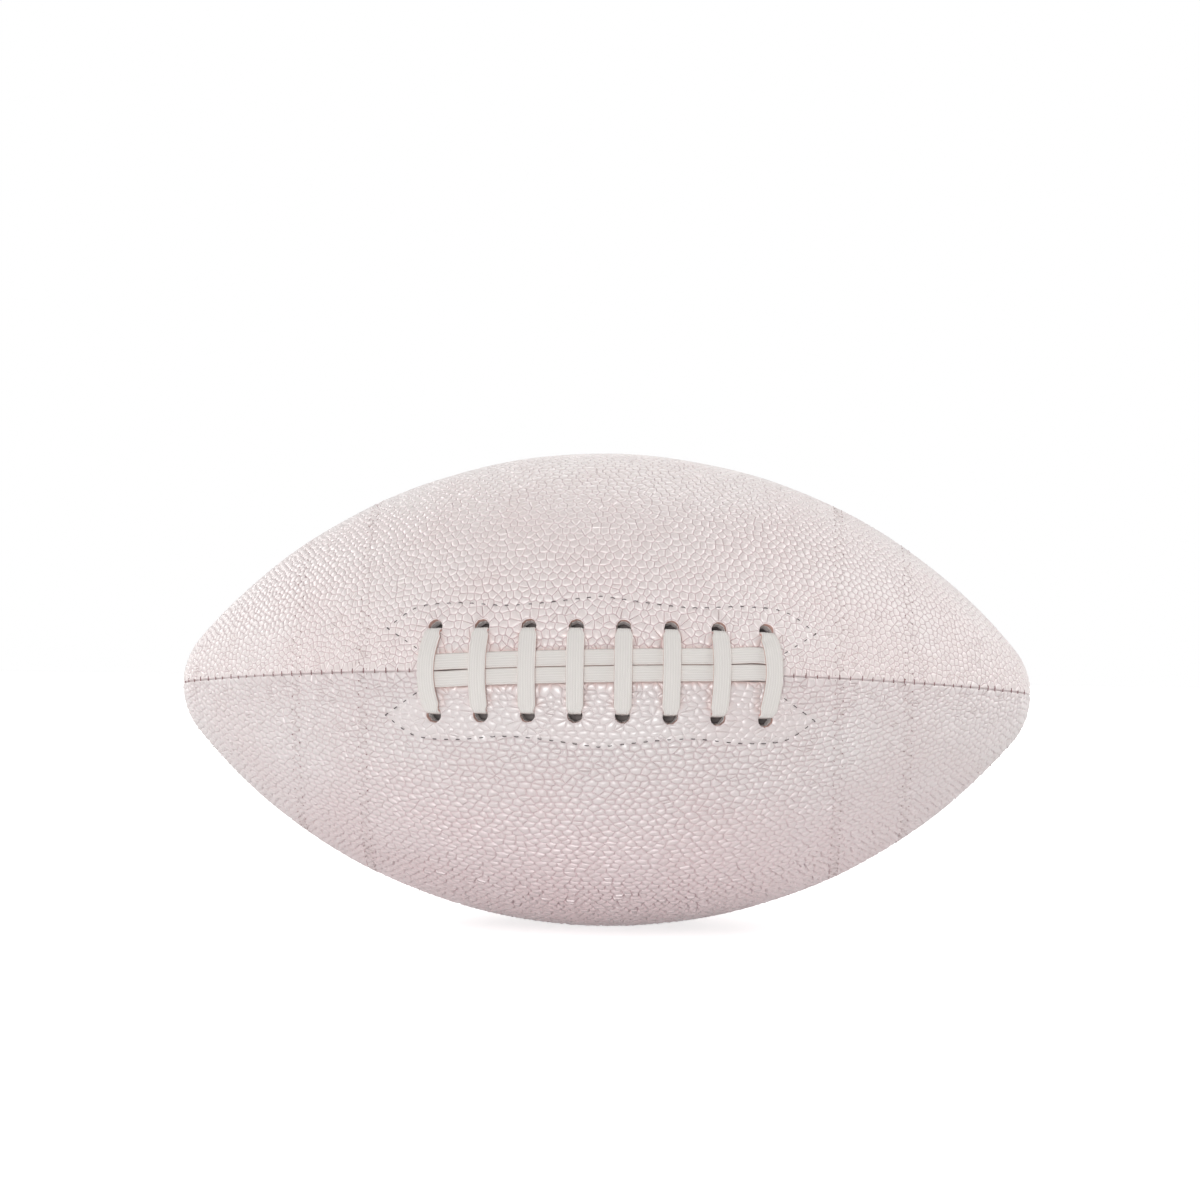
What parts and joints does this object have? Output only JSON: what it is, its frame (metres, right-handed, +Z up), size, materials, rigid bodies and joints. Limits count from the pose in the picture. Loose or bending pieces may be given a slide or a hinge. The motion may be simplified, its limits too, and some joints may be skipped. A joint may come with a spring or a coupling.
{
  "type": "american football",
  "caption": "American football of lined, pebbled leather panels sewn round a bladder with an inflation valve, closed by a flat lace, with sewn-in stripes near both ends.",
  "frame": {"origin": "centre of the flattened patch that the ball rests on, under the middle of its long axis", "axes": "+Z up, +X along the ball's long axis, and the lacing towards -Y, turned a little up"},
  "size_m": [0.28, 0.1593, 0.155],
  "materials": {
    "panel_leather": "pebbled, pearly satin",
    "stripe_leather": "pebbled, pearly satin",
    "lace_cloth": "woven, matte",
    "lining_cloth": "coarse, matte",
    "facing_leather": "matte",
    "bladder_rubber": "matte",
    "valve_rubber": "matte"
  },
  "bodies": {
    "root": {"panel_front_upper": "panel_leather", "panel_front_lower": "panel_leather", "panel_back_upper": "panel_leather", "panel_back_lower": "panel_leather", "stripe_left_upper": "stripe_leather", "stripe_left_lower": "stripe_leather", "stripe_right_upper": "stripe_leather", "stripe_right_lower": "stripe_leather", "lining_front_upper": "lining_cloth", "lining_front_lower": "lining_cloth", "lining_back_upper": "lining_cloth", "lining_back_lower": "lining_cloth", "lace": "lace_cloth", "lace_facing_upper": "facing_leather", "lace_facing_lower": "facing_leather", "lace_tongue": "facing_leather", "bladder": "bladder_rubber", "valve_housing": "valve_rubber", "valve_plug": "valve_rubber"}
  },
  "joints": []
}
